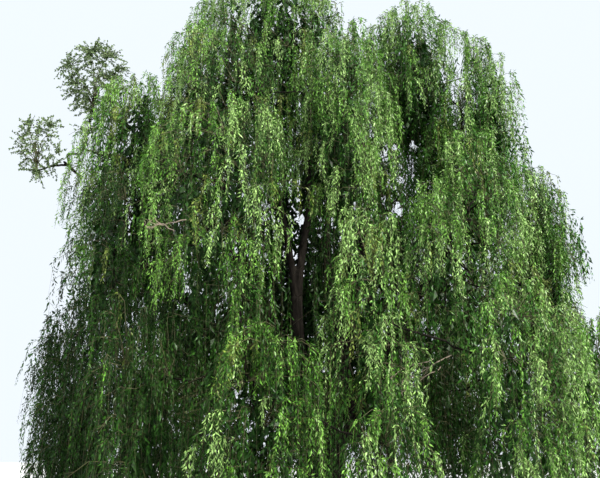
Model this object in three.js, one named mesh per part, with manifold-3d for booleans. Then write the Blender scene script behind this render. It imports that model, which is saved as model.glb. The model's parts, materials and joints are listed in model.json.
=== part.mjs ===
// A mature weeping willow in full leaf, standing on level ground.
// Millimetres, Z up. The origin is the centre of the trunk's flat cut at ground level.
// The tree is seen from the front along +Y, with +X to the right.
import * as THREE from "three";
import { mergeVertices } from "three/addons/utils/BufferGeometryUtils.js";
import Module from "manifold-3d";

const wasm = await Module();
wasm.setup();

// Driving dimensions
const CROWN_TOP = 15550;
const HEM = 600;
const FORK_HEIGHT = 2450;
const TRUNK_RADIUS = 530;
const FORK_RADIUS = 500;
const FLARE_REACH = 330;
const FLARE_HEIGHT = 520;
const TRUNK_LEAN = [60, 50];

// The flare runs out into root buttresses: how many, the least and the added share of its reach,
// and how far they are turned, in radians
const BUTTRESSES = 5;
const BUTTRESS_LEAST = 0.62;
const BUTTRESS_SWELL = 0.38;
const BUTTRESS_TURN = 0.6;

// The least room between two solids that touch
const SEAM = 1;

// Unevenness of a foliage mass, as shares of its half width and its height
const LUMP = 0.09;
const RAGGED = 0.07;

// The waves that make up the lumps: how many go round, how far they wind on from foot to top,
// their share of the whole, and how fast their phase runs from one mass to the next
const LUMP_WAVES = [
  { round: 3, wind: 0, share: 1, drift: 1 },
  { round: 2, wind: -4, share: 0.7, drift: 2.3 },
  { round: 5, wind: 3, share: 0.6, drift: 1.7 },
];
const HEM_WAVES = 4;
const PHASE_STEP = 1.9;

// How fine the faces are
const TRUNK_SIDES = 20;
const TRUNK_STEPS = 7;
const LIMB_SIDES = 7;
const LIMB_STEPS = 2;
const MASS_SIDES = 10;
const MASS_STEPS = 8;

// Vertices nearer to each other than this are one, so that a geometry closes into a solid
const WELD = 1e-2;

// Above 1, the trunk's levels lie closer together near the ground, where the flare is
const LEVEL_CROWDING = 1.5;
// Below 1, a limb tapers faster near its foot than near its tip
const TAPER_POWER = 0.8;

// The superellipse powers of a mass: a rounded dome above, and a skirt with nearly upright sides below
const DOME_POWER = 2.2;
const SKIRT_POWER = 3.2;
// The widest level of a mass, as a share of its height above its foot
const SHOULDER = 0.62;

const BARK = new THREE.MeshStandardMaterial({ color: 0x5b5046, roughness: 0.95, metalness: 0 });
const FOLIAGE = [0x5f8536, 0x6c9440, 0x527a31, 0x789c4a].map(
  (color) => new THREE.MeshStandardMaterial({ color, roughness: 0.8, metalness: 0 }),
);

// A geometry as a solid that can be joined and cut
function solidOf(geometry) {
  const bare = geometry.clone();
  bare.deleteAttribute("normal");
  bare.deleteAttribute("uv");
  const merged = mergeVertices(bare, WELD);
  return new wasm.Manifold(
    new wasm.Mesh({
      numProp: 3,
      vertProperties: merged.attributes.position.array,
      triVerts: new Uint32Array(merged.index.array),
    }),
  );
}

// A solid as a geometry
function geometryOf(solid) {
  const { numProp, numVert, vertProperties, triVerts } = solid.getMesh();
  const position = new Float32Array(numVert * 3);
  for (let i = 0; i < numVert; i++) {
    position.set(vertProperties.subarray(i * numProp, i * numProp + 3), i * 3);
  }
  const geometry = new THREE.BufferGeometry();
  geometry.setAttribute("position", new THREE.BufferAttribute(position, 3));
  geometry.setIndex(new THREE.BufferAttribute(triVerts, 1));
  geometry.computeVertexNormals();
  return geometry;
}

// Moves each vertex of a geometry to where place puts it
function reshape(geometry, place) {
  const position = geometry.getAttribute("position");
  for (let i = 0; i < position.count; i++) {
    const p = place(position.getX(i), position.getY(i), position.getZ(i));
    position.setXYZ(i, p.x, p.y, p.z);
  }
  return geometry;
}

// The trunk: a flat cut at the ground, buttressed roots that die into the stem, and a slight lean
function trunk(grow) {
  const stem = new THREE.CylinderGeometry(1, 1, 1, TRUNK_SIDES, TRUNK_STEPS);
  return reshape(stem, (x, y, z) => {
    const share = y + 0.5;
    const height = (FORK_HEIGHT + grow) * share ** LEVEL_CROWDING;
    const angle = Math.atan2(-z, x);
    const buttress = BUTTRESS_LEAST + BUTTRESS_SWELL * Math.cos(BUTTRESSES * angle + BUTTRESS_TURN);
    const flare = FLARE_REACH * buttress * Math.exp(-height / FLARE_HEIGHT);
    const stemRadius = THREE.MathUtils.lerp(TRUNK_RADIUS, FORK_RADIUS, share);
    const radius = Math.hypot(x, z) * (stemRadius + flare + grow);
    const lean = share * share;
    return new THREE.Vector3(
      TRUNK_LEAN[0] * lean + radius * Math.cos(angle),
      TRUNK_LEAN[1] * lean + radius * Math.sin(angle),
      height,
    );
  });
}

// One tapering limb along a smooth curve through its points
function limb({ path, thick, thin }, grow) {
  const curve = new THREE.CatmullRomCurve3(path.map((p) => new THREE.Vector3(...p)));
  const steps = LIMB_STEPS * (path.length - 1);
  const { tangents, normals, binormals } = curve.computeFrenetFrames(steps, false);
  const tube = new THREE.CylinderGeometry(1, 1, 1, LIMB_SIDES, steps);
  return reshape(tube, (x, y, z) => {
    const share = y + 0.5;
    const step = Math.round(share * steps);
    const radius = THREE.MathUtils.lerp(thick, thin, share ** TAPER_POWER) + grow;
    const past = Math.abs(y) === 0.5 ? 2 * y * grow : 0;
    return curve
      .getPointAt(share)
      .addScaledVector(tangents[step], past)
      .addScaledVector(normals[step], radius * x)
      .addScaledVector(binormals[step], -radius * z);
  });
}

// One mass of hanging foliage: a domed top over a skirt with an uneven outline and a ragged hem
function mass({ at, top, foot, wide, deep, turn = 0, shoulder = SHOULDER, phase }, grow) {
  const ball = new THREE.SphereGeometry(1, MASS_SIDES, MASS_STEPS);
  const waist = THREE.MathUtils.lerp(foot, top, shoulder);
  const turned = THREE.MathUtils.degToRad(turn);
  return reshape(ball, (x, y, z) => {
    const angle = Math.atan2(-z, x);
    const level = THREE.MathUtils.clamp(y, -1, 1);
    const power = level > 0 ? DOME_POWER : SKIRT_POWER;
    const profile = (1 - Math.abs(level) ** power) ** (1 / power);
    const lumps = LUMP_WAVES.reduce(
      (sum, w) => sum + w.share * Math.sin(w.round * angle + w.wind * level + w.drift * phase),
      0,
    );
    const reach = profile * (1 + LUMP * lumps);
    const along = reach * wide * Math.cos(angle) + profile * grow * Math.cos(angle);
    const across = reach * deep * Math.sin(angle) + profile * grow * Math.sin(angle);
    const rise = level > 0 ? top - waist : waist - foot;
    const wave = Math.sin(HEM_WAVES * angle + phase);
    const torn = level < 0 ? RAGGED * (top - foot) * profile * wave : 0;
    return new THREE.Vector3(
      at[0] + along * Math.cos(turned) - across * Math.sin(turned),
      at[1] + along * Math.sin(turned) + across * Math.cos(turned),
      waist + level * (rise + grow) + torn,
    );
  });
}

// Masses set round the trunk at even turns, their broad sides facing outwards
function ring(tier, names, { from, step, radius, tops, foot, wide, deep }) {
  return names.map((name, i) => {
    const turn = from + step * i;
    const angle = THREE.MathUtils.degToRad(turn);
    return {
      name: `${tier}_${name}`,
      at: [radius * Math.cos(angle), radius * Math.sin(angle)],
      top: tops[i % tops.length],
      foot,
      wide,
      deep,
      turn: turn - 90,
    };
  });
}

// The masses of foliage. The first of two that meet stays whole, and the other is cut back to it.
const MASSES = [
  // Cascades and skirts that hang in front
  { name: "cascade_centre", at: [850, -4950], top: 6550, foot: 1950, wide: 900, deep: 950 },
  { name: "cascade_slim", at: [-1780, -5150], top: 5600, foot: 3200, wide: 400, deep: 480 },
  { name: "cascade_front_left", at: [-2300, -4250], top: 9400, foot: 4500, wide: 1600, deep: 1450 },
  { name: "cascade_left", at: [-4800, -3000], top: 8200, foot: 3600, wide: 1250, deep: 1250 },
  { name: "cascade_front_right", at: [2500, -3500], top: 7600, foot: 4000, wide: 950, deep: 1250 },
  { name: "cascade_right", at: [3650, -2700], top: 9200, foot: 4400, wide: 1200, deep: 1450 },
  { name: "skirt_front_left", at: [-1300, -5550], top: 4000, foot: HEM, wide: 1300, deep: 1000 },
  { name: "skirt_front", at: [950, -5850], top: 2750, foot: HEM, wide: 1050, deep: 900 },
  { name: "skirt_front_right", at: [3550, -4800], top: 5250, foot: HEM, wide: 1300, deep: 1250 },
  { name: "skirt_right_front", at: [5850, -3100], top: 4850, foot: HEM, wide: 1350, deep: 1400 },
  { name: "skirt_recess", at: [2450, -3100], top: 4150, foot: 900, wide: 900, deep: 900 },
  { name: "skirt_left_front", at: [-3700, -4500], top: 4700, foot: HEM, wide: 1200, deep: 1150 },
  { name: "skirt_left", at: [-5450, -2200], top: 5600, foot: HEM, wide: 1200, deep: 1450 },
  // Domes at the top of the crown
  { name: "dome_centre", at: [-1480, 100], top: CROWN_TOP, foot: 9900, wide: 2750, deep: 2450 },
  { name: "dome_right", at: [2700, -200], top: 14150, foot: 10400, wide: 1500, deep: 2000 },
  {
    name: "dome_far_right",
    at: [4200, -350],
    top: 13250,
    foot: 7500,
    wide: 1380,
    deep: 1900,
    shoulder: 0.4,
  },
  { name: "dome_front", at: [560, -2800], top: 12200, foot: 6900, wide: 1100, deep: 1500 },
  { name: "dome_front_left", at: [-2500, -2700], top: 12300, foot: 6900, wide: 1700, deep: 1600 },
  {
    name: "dome_left",
    at: [-4750, -900],
    top: 11700,
    foot: 5000,
    wide: 1900,
    deep: 2000,
    shoulder: 0.5,
  },
  { name: "dome_back_left", at: [-3500, 3000], top: 13000, foot: 7000, wide: 2150, deep: 2300 },
  { name: "dome_back", at: [700, 3800], top: 13500, foot: 9900, wide: 1750, deep: 2100 },
  { name: "dome_back_right", at: [4400, 3100], top: 12200, foot: 6600, wide: 1800, deep: 2200 },
  // The shoulder on the right, and the two airy sprays that stand clear of the crown on the left
  { name: "shoulder_right", at: [6250, 1400], top: 9850, foot: 3800, wide: 1100, deep: 1700 },
  { name: "spray_left_high", at: [-6500, -400], top: 13150, foot: 10800, wide: 1100, deep: 800 },
  { name: "spray_left_low", at: [-7750, -700], top: 10700, foot: 8900, wide: 800, deep: 600 },
  // Cascades and skirts round the sides and the back
  ...ring("cascade", ["right_back", "back_right", "back", "back_left", "left_back"], {
    from: 38,
    step: 33,
    radius: 5350,
    tops: [8900, 9600, 7700],
    foot: 3900,
    wide: 1600,
    deep: 1450,
  }),
  ...ring(
    "skirt",
    ["right", "right_side", "right_back", "back_right", "back", "back_left", "left_back", "left_side"],
    {
      from: -8,
      step: 26,
      radius: 6350,
      tops: [4450, 5000, 4700],
      foot: HEM,
      wide: 1550,
      deep: 1150,
    },
  ),
].map((spec, i) => ({ ...spec, phase: PHASE_STEP * i }));

// The limbs, each after the one that it springs from. Each path starts inside its parent.
const LIMBS = [
  {
    name: "stem_left",
    path: [[-150, -20, 2000], [-380, -40, 3100], [-640, -20, 4400], [-680, 0, 5600]],
    thick: 270,
    thin: 175,
  },
  {
    name: "stem_left_fork_a",
    path: [[-680, 0, 5350], [-840, -60, 6700], [-1150, -150, 8300], [-1700, -250, 10600]],
    thick: 120,
    thin: 65,
  },
  {
    name: "stem_left_fork_b",
    path: [[-670, 0, 5300], [-560, 60, 6700], [-330, 150, 8200], [-450, 250, 10800]],
    thick: 140,
    thin: 75,
  },
  {
    name: "stem_right",
    path: [[200, 0, 2000], [430, -10, 3000], [540, -20, 4100], [520, -20, 4500]],
    thick: 290,
    thin: 215,
  },
  {
    name: "stem_right_fork_a",
    path: [[520, -20, 4250], [330, 60, 5300], [160, 200, 6800], [250, 500, 9200], [-100, 600, 11000]],
    thick: 150,
    thin: 70,
  },
  {
    name: "stem_right_fork_b",
    path: [[530, -20, 4250], [860, -130, 5300], [1150, -160, 7300], [1400, -120, 9200], [1800, -150, 11200]],
    thick: 165,
    thin: 75,
  },
  {
    name: "bough_back",
    path: [[100, 250, 2050], [420, 1250, 3900], [800, 2400, 6300], [1100, 3300, 10800]],
    thick: 230,
    thin: 90,
  },
  {
    name: "bough_back_left",
    path: [[-200, 230, 2000], [-1050, 1050, 3700], [-2150, 1900, 5900], [-3000, 2500, 8600]],
    thick: 225,
    thin: 90,
  },
  {
    name: "bough_back_right",
    path: [[280, 220, 2050], [1500, 1100, 3600], [3000, 1950, 5600], [4200, 2500, 8300]],
    thick: 215,
    thin: 85,
  },
  {
    name: "bough_left",
    path: [[-300, -20, 1900], [-1500, -300, 3500], [-3100, -700, 5000], [-4600, -1000, 6600]],
    thick: 225,
    thin: 90,
  },
  {
    name: "bough_right",
    path: [[350, 30, 1950], [1700, 150, 3300], [3400, 350, 4700], [5500, 1100, 6100]],
    thick: 215,
    thin: 85,
  },
  {
    name: "bough_front_left",
    path: [[-200, -200, 2050], [-850, -1150, 3700], [-1500, -2250, 5200], [-2100, -3300, 6400]],
    thick: 190,
    thin: 80,
  },
  {
    name: "bough_front_right",
    path: [[250, -180, 2050], [1250, -950, 3700], [2350, -1650, 5400], [3500, -2350, 7000]],
    thick: 190,
    thin: 80,
  },
  {
    name: "bough_front",
    path: [[80, -280, 2000], [350, -1500, 3500], [600, -2900, 4600], [800, -4400, 5300]],
    thick: 170,
    thin: 70,
  },
  {
    name: "shoot_left_low",
    path: [[-5800, -800, 8300], [-6500, -750, 8800], [-7500, -700, 9700]],
    thick: 60,
    thin: 35,
  },
];

function meets(a, b) {
  const p = a.boundingBox();
  const q = b.boundingBox();
  return [0, 1, 2].every((k) => p.min[k] < q.max[k] && q.min[k] < p.max[k]);
}

// A solid less the grown copies of those before it
function cutBack(solid, cutters) {
  return cutters.filter((c) => meets(solid, c)).reduce((left, c) => left.subtract(c), solid);
}

function largest(solid) {
  return solid.decompose().reduce((a, b) => (b.volume() > a.volume() ? b : a));
}

function lowest(solid) {
  const height = (s) => s.boundingBox().min[2];
  return solid.decompose().reduce((a, b) => (height(b) < height(a) ? b : a));
}

const tree = new THREE.Group();

function add(name, solid, material) {
  const mesh = new THREE.Mesh(geometryOf(solid), material);
  mesh.name = name;
  tree.add(mesh);
}

const massCutters = [];
MASSES.forEach((spec, i) => {
  const whole = solidOf(mass(spec, 0));
  add(spec.name, largest(cutBack(whole, massCutters)), FOLIAGE[i % FOLIAGE.length]);
  massCutters.push(solidOf(mass(spec, SEAM)));
});

add("trunk", solidOf(trunk(0)), BARK);
const woodCutters = [solidOf(trunk(SEAM))];
for (const spec of LIMBS) {
  const whole = solidOf(limb(spec, 0));
  // A limb ends where it first enters a mass of foliage, so its lowest part is the one that is kept
  add(spec.name, lowest(cutBack(whole, [...woodCutters, ...massCutters])), BARK);
  woodCutters.push(solidOf(limb(spec, SEAM)));
}

export default tree;
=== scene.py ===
"""A weeping willow in full leaf: bark, boughs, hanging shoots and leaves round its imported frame."""

import json
import math

import bmesh
import bpy
import numpy as np
from bpy.props import FloatProperty, FloatVectorProperty, IntProperty, PointerProperty
from mathutils import Euler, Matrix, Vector, noise
from mathutils.bvhtree import BVHTree
from mathutils.kdtree import KDTree


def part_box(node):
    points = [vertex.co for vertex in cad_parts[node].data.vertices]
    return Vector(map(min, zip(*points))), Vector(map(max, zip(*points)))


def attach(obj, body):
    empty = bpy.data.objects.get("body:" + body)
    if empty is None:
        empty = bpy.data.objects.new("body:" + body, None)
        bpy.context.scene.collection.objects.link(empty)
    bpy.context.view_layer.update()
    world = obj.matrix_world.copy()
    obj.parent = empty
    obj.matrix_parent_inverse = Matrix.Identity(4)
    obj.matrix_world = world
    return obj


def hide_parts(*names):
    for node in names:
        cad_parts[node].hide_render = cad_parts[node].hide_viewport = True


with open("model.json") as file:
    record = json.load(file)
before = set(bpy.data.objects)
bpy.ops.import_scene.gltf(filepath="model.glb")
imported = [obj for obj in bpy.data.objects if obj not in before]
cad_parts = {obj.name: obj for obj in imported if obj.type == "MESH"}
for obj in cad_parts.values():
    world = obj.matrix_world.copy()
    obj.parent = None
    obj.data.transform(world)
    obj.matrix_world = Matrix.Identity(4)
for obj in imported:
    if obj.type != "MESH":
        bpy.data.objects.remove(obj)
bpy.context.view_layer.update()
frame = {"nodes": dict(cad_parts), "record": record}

bl_info = {
    "name": "Weeping willow",
    "version": (1, 0, 0),
    "blender": (4, 5, 0),
    "location": "3D View > Sidebar > Willow",
    "description": "Bark, boughs, hanging shoots and leaves of a weeping willow round its packed frame",
    "category": "Object",
}

BODY = "root"
SLOT_OF = {row["node"]: row["material_slot"] for row in frame["record"]["subparts"]}
LIMBS = [node for node, slot in SLOT_OF.items() if slot == "bark"]
SPRAYS = [node for node in SLOT_OF if node.startswith("spray")]
CURTAINS = [node for node, slot in SLOT_OF.items() if slot == "foliage" and node not in SPRAYS]

# The most triangles that a piece of leaves holds
PIECE_TRIANGLES = 190_000
# Sides of a round piece: thin shoots and twigs, dead branches, and boughs
TWIG_SIDES = 3
DEAD_SIDES = 5
BOUGH_SIDES = 6
UP = np.array([0.0, 0.0, 1.0])

# How many points a leader, a mass's own bough and a spray's stem have along them
LEADER_POINTS = 9
ARM_POINTS = 7
STEM_POINTS = 7
# The first point of a leader that others may spring from
FIRST_FORK = 3
# How far a bough strays from its curve, as a share of its length
WANDER = 0.03
# A mass's own boughs: least distance between two ends, how deep the ends lie, and the radii at the
# thickest foot and at the tip
ARM_SPACING = 1.05
ARM_DEPTH = 0.8
ARM_RADII = (0.035, 0.012)
# A leader's radius at its foot, as a share of the one where it springs, and the least at its tip
LEADER_SHARE = 0.9
LEADER_TIP = 0.018
# Tresses: trial places for each square metre, the clear air that each needs, and how far down it may face
HEADS_PER_M2 = 16
HEAD_CLEARANCE = 0.35
HEAD_FACING = -0.45
# No tress springs nearer over a mass's hem than this share of the mass's height, at most HEM_HEIGHT
HEM_SHARE = 0.3
HEM_HEIGHT = 1.5
# Below these a curtain's surface counts as facing the trunk, or as lying in a fold between two tufts, and
# there these shares of the tresses stay
INWARD = -0.2
IN_A_FOLD = -0.22
INWARD_SHARE = 0.35
FOLD_SHARE = 0.55
# Where a mass's surface faces up more than this, more shoots hang from a twig
TOP_FACING = 0.45
MORE_ON_TOP = 2
# A mass with its hem above this level is one of the upper ones
HIGH_HEM = 3.0
# How far a mass's longest shoots drop below its hem, for a hem above each level
HEM_DROPS = ((HIGH_HEM, 0.9), (1.0, 0.3), (-1.0, 0.0))
# No shoot reaches lower than this level
LOWEST = 0.3
# The ways that a place's light is judged by: turns from straight out in degrees, rises, and reach
LOOK_TURNS = (-50, -15, 20, 55)
LOOK_RISES = (0.15, 0.8, 2.0)
LOOK_REACH = 5.0
# Radii at the foot and the tip: arching twigs, dead branches and their side twigs, a spray's stems and
# its twigs
TWIG_RADII = (0.0095, 0.004)
DEAD_RADII = (0.014, 0.005)
DEAD_TWIG_RADII = (0.008, 0.003)
STEM_RADII = (0.016, 0.004)
SPRAY_TWIG_RADII = (0.004, 0.0015)
# Lengths of the shaded shoots, and for those under a mass's open top: how far the surface there faces up,
# the clear air over it, how deep under it they pass, and the most that they hang
INNER_LENGTHS = (0.9, 2.6)
CAP_FACING = 0.1
CAP_CLEARANCE = 0.8
CAP_DEPTHS = (0.1, 0.5)
CAP_LONGEST = 1.1
# How far an arching twig reaches past its head, and how far out the shoots on it spring
TWIG_REACH = (0.3, 0.85)
SPRING_REACH = (0.04, 0.26)
# How far a hanging shoot sways for each metre of its length, the length after which that grows no more,
# and the waves of the sway in radians per metre
SWAYS = (0.02, 0.1)
SWAY_PART = 1.2
WAVES = (1.8, 4.5)
# A shoot's radius at its tip, as a share of its foot's
SHOOT_TAPER = 0.4
# How far from a hanging shoot's foot its first leaf stands
FIRST_LEAF = 0.03
# The pull that makes the leaves droop, and the most that one stands off its shoot
LEAF_DROOP = 0.15
LEAF_STAND = 0.05
# The angle between a leaf and its shoot: least, usual and greatest, in degrees
LEAF_SPREAD = (5, 18, 80)
# Sizes of the hanging leaves and of a spray's leaves, as shares of full size
LEAF_SIZES = (0.62, 1.15)
SPRAY_LEAF_SIZES = (0.75, 1.15)
# Sprays: stems in all, and more for each metre of height; twigs for each square metre as seen from the
# front, and those beside the foot; length and width of a leaf, and the distance between two
SPRAY_STEMS = 8
STEMS_PER_METRE = 5
SPRAY_TWIGS_PER_M2 = 85
FOOT_TWIGS = 40
SPRAY_LEAF = (0.062, 0.036)
SPRAY_LEAF_GAP = 0.018
# The share of the shoots in a tress whose tone is dealt out apart from it
STRAY_SHARE = 0.2
# The outer leaf tones, which paint light and shade on the leaves, and the share of each where hardly any
# light comes, in the shade, and in the open
TONES = {
    "bright": (0.00, 0.02, 0.43),
    "fresh": (0.00, 0.09, 0.34),
    "middle": (0.04, 0.31, 0.11),
    "deep": (0.31, 0.49, 0.03),
    "dim": (0.64, 0.06, 0.00),
    "olive": (0.01, 0.03, 0.09),
}

# The photograph's frame and the place that it was taken from
PHOTO_SIZE = (600, 478)
FOCAL_PIXELS = 724
EYE = (-0.58, -19.0, 1.6)
HORIZON_ROW = 455
# Openings in the crown: left column, top row, right column, bottom row
SKY_GAPS = (
    (298, 205, 310, 227),
    (291, 242, 301, 276),
    (383, 139, 388, 164),
    (390, 141, 398, 151),
    (409, 135, 420, 150),
    (396, 173, 405, 184),
    (379, 190, 386, 206),
    (386, 199, 405, 216),
    (381, 211, 390, 221),
    (350, 196, 358, 210),
    (361, 197, 366, 203),
    (453, 163, 463, 172),
)
# Where an opening's ragged edge runs, as shares of its half widths squared, and the shares of the leaves
# and of the shoots that are cleared from it
GAP_EDGE = (0.3, 1.1)
LEAVES_CLEARED = 0.93
SHOOTS_CLEARED = 0.6
# What sets some masses apart from the rest: how far painted shade darkens their leaves, or below zero
# how far painted light lightens them, and how many times as many shaded shoots there are. Above one, the
# tresses stand closer too
MASS_SHADE_AND_FULLNESS = {
    "dome_back": (0.0, 0.9),
    "dome_back_left": (0.0, 0.5),
    "dome_back_right": (0.0, 0.3),
    "dome_centre": (-0.5, 1.9),
    "dome_far_right": (-0.35, 3.2),
    "dome_front": (-0.3, 1.2),
    "dome_front_left": (0.0, 0.8),
    "dome_left": (-0.1, 1.8),
    "dome_right": (-0.15, 2.5),
    "shoulder_right": (-0.3, 3.2),
    "cascade_back": (0.0, 0.8),
    "cascade_back_left": (0.0, 0.8),
    "cascade_back_right": (0.0, 0.5),
    "cascade_centre": (-0.15, 0.6),
    "cascade_front_left": (0.35, 0.6),
    "cascade_front_right": (-0.85, 0.5),
    "cascade_left": (2.0, 0.9),
    "cascade_right": (-0.8, 0.35),
    "cascade_right_back": (0.0, 0.6),
    "cascade_slim": (0.4, 1.0),
    "skirt_front": (0.75, 0.8),
    "skirt_front_left": (0.6, 1.8),
    "skirt_front_right": (-0.2, 0.8),
    "skirt_left": (2.0, 1.5),
    "skirt_left_back": (0.0, 0.8),
    "skirt_left_front": (2.0, 1.3),
    "skirt_left_side": (1.2, 0.8),
    "skirt_recess": (0.9, 2.5),
    "skirt_right": (0.0, 0.7),
    "skirt_right_front": (-0.25, 0.8),
    "skirt_right_side": (0.0, 0.7),
}
USUAL_SHADE_AND_FULLNESS = (0.0, 1.0)
# Rounded boxes between the masses that shaded shoots fill: middle, half sizes, number of shoots, depth.
# The shallow ones to the right, where the crown is lighter, are pale with painted light
FILLS = (
    ((0.2, 2.4, 6.8), (2.4, 1.5, 4.6), 680, 1.0),
    ((-0.3, 3.6, 5.6), (1.6, 0.9, 2.6), 120, 1.0),
    ((3.6, 0.6, 11.2), (1.7, 0.9, 1.8), 130, 0.5),
    ((6.5, 0.3, 7.7), (0.75, 0.8, 1.2), 60, 0.5),
    ((2.5, -0.3, 9.0), (1.2, 1.2, 2.4), 190, 0.5),
    ((2.6, 0.4, 9.2), (1.1, 0.7, 2.2), 120, 0.5),
    ((-2.8, -3.2, 2.9), (0.9, 0.7, 1.9), 90, 0.5),
    ((2.7, -1.5, 3.9), (1.3, 0.8, 1.8), 120, 0.5),
    ((0.15, -3.4, 2.4), (0.9, 0.7, 1.5), 60, 0.3),
    ((-2.6, -2.4, 4.7), (1.2, 0.8, 1.6), 110, 1.0),
    ((3.3, -0.6, 6.0), (1.5, 0.8, 1.8), 110, 1.0),
    ((-3.6, 1.5, 3.2), (1.2, 1.2, 2.4), 100, 1.0),
    ((-1.3, -2.2, 4.9), (0.6, 0.5, 1.3), 35, 0.3),
    ((0.05, -1.3, 6.6), (0.35, 0.4, 2.0), 40, 0.3),
)
# The ring that the lowest curtains stand in: its middle and half widths, the levels that it spans, and
# where its inner and outer edges run, as shares of the half widths
SKIRT_MIDDLE = (-0.5, 0.3)
SKIRT_REACH = (7.0, 6.3)
SKIRT_LEVELS = (1.3, 5.0)
SKIRT_RIM = (0.8, 0.95)
# Bare branches: column and row of foot and tip, and how many side twigs each has
BARE_BRANCHES = (
    (173, 222, 151, 233, 5),
    (166, 227, 153, 222, 3),
    (433, 366, 404, 382, 8),
    (428, 376, 410, 390, 6),
    (424, 362, 402, 368, 5),
)
# Shaded shoots nearer to a mass's surface than this are its veil, and the others its core
VEIL_DEPTH = 0.6
# Above this level the masses stand free on every side
DOME_LEVEL = 7.0
# The limb or mass that the leaders of these spring from; every other leader springs from the nearest
PARENTS = {
    "spray_left_high": "dome_left",
    "spray_left_low": "shoot_left_low",
    "cascade_slim": "cascade_front_left",
}

# The floor's radius, and the key light's colour and the way to it
FLOOR_RADIUS = 160.0
KEY_COLOUR = (1.0, 0.96, 0.88)
KEY_TOWARDS = (0.85, -0.6, 0.9)

# What the growth operator works out for the others
PLAN = {}


# Settings


def in_metres(name, text, default):
    """A setting that is a length."""
    return FloatProperty(name=name, description=text, default=default, unit="LENGTH")


def as_number(name, text, default):
    """A setting that is a plain number."""
    return FloatProperty(name=name, description=text, default=default)


def as_count(name, text, default):
    """A setting that is a whole number."""
    return IntProperty(name=name, description=text, default=default)


def as_colour(name, text, default):
    """A setting that is a colour."""
    return FloatVectorProperty(name=name, description=text, default=default, subtype="COLOR")


class WillowLeafSettings(bpy.types.PropertyGroup):
    length: in_metres("Leaf length", "Length of a full-grown leaf", 0.1)
    width: in_metres("Leaf width", "Widest part of a leaf", 0.0325)
    inner_width: in_metres("Inner leaf width", "Widest part of a leaf deep inside, unscaled", 0.052)
    fold: in_metres("Fold", "How far the edges stand back from the midrib", 0.005)
    gap: in_metres("Leaf gap", "Distance between leaves along a shoot", 0.0305)
    veil_scale: as_number("Veil leaf scale", "Scale of the shaded leaves just behind the outer ones", 1.6)
    veil_gap: in_metres("Veil leaf gap", "Distance between those leaves", 0.074)
    inner_scale: as_number("Inner leaf scale", "Scale of the leaves deep inside", 2.6)
    inner_gap: in_metres("Inner leaf gap", "Distance between the leaves deep inside", 0.092)
    # From bright to dim the tones are lit and shaded copies of one leaf green: painted light and shade.
    # Bright is also paler, a painted sheen. Olive is a yellowish tint that a few leaves have
    bright: as_colour("Bright", "Young leaves in the light", (0.2, 0.335, 0.09))
    fresh: as_colour("Fresh", "Leaves in the open", (0.105, 0.235, 0.03))
    middle: as_colour("Middle", "Leaves between light and shade", (0.058, 0.158, 0.013))
    deep: as_colour("Deep", "Leaves in the shade", (0.018, 0.062, 0.005))
    dim: as_colour("Dim", "Leaves that hardly any light reaches", (0.009, 0.032, 0.003))
    olive: as_colour("Olive", "The few yellowish leaves", (0.11, 0.155, 0.025))
    spray: as_colour("Spray", "Greyish leaves of the upright sprays", (0.13, 0.19, 0.08))
    # Veil and shade are darkened with painted shade; the pale veil, where the crown is lighter, less so,
    # with painted light
    veil: as_colour("Veil", "Leaves just behind the outer ones", (0.014, 0.048, 0.005))
    pale_veil: as_colour("Pale veil", "The same where the crown is lighter", (0.03, 0.1, 0.01))
    shade: as_colour("Shade", "Leaves deep inside", (0.011, 0.038, 0.005))


class WillowShootSettings(bpy.types.PropertyGroup):
    seed: as_count("Seed", "Seed of the branching rule", 7)
    spacing: in_metres("Tress spacing", "Least distance between two tresses", 0.415)
    per_tress: as_count("Shoots in a tress", "Usual number of shoots that hang from one arching twig", 4)
    longest: in_metres("Longest shoot", "Length of the longest hanging shoot", 1.85)
    shortest: in_metres("Shortest shoot", "Length of the shortest hanging shoot", 0.45)
    thickness: in_metres("Shoot radius", "Radius of a shoot where it springs", 0.004)
    inner_per_m2: as_number("Inner shoots", "Shaded shoots for each square metre of surface", 2.3)
    cap_per_m2: as_number("Cap shoots", "Shaded shoots for each square metre of open top", 2.6)
    ring_count: as_count("Ring shoots", "Shaded shoots between the lowest curtains", 500)
    twig: as_colour("Twig", "Skin of the young shoots", (0.1, 0.095, 0.035))
    dead: as_colour("Dead wood", "Bare, dead branches", (0.34, 0.27, 0.2))


class WillowBarkSettings(bpy.types.PropertyGroup):
    voxel: in_metres("Skin voxel", "Fineness of the bark's skin", 0.034)
    furrow: in_metres("Furrow depth", "Depth of the furrows at the trunk's foot", 0.05)
    # Both colours are the bark's dark grey-brown made darker still with painted shade, for limbs that
    # stand in the crown's shade
    ridge: as_colour("Ridge", "Weathered ridges of the bark", (0.015, 0.012, 0.009))
    crevice: as_colour("Crevice", "Bottom of the furrows", (0.004, 0.003, 0.002))


class WillowStageSettings(bpy.types.PropertyGroup):
    floor: as_colour("Floor", "Colour of the floor", (0.55, 0.56, 0.55))
    sky: as_colour("Sky", "Colour of the surroundings", (0.86, 0.93, 1.0))
    sky_strength: as_number("Sky strength", "Brightness of the surroundings", 1.05)
    sun_strength: as_number("Key strength", "Brightness of the key light", 7.2)
    sun_softness: FloatProperty(
        name="Key softness",
        description="Angle that the key light spans",
        default=math.radians(5),
        subtype="ANGLE",
    )


# Reading the frame


def points_of(node):
    """The corners of a CAD node, one row each."""
    mesh = frame["nodes"][node].data
    flat = np.empty(3 * len(mesh.vertices))
    mesh.vertices.foreach_get("co", flat)
    return flat.reshape(-1, 3)


def triangles_of(node):
    """The corner numbers of a CAD node's triangles."""
    mesh = frame["nodes"][node].data
    mesh.calc_loop_triangles()
    flat = np.empty(3 * len(mesh.loop_triangles), np.int64)
    mesh.loop_triangles.foreach_get("vertices", flat)
    return flat.reshape(-1, 3)


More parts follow.
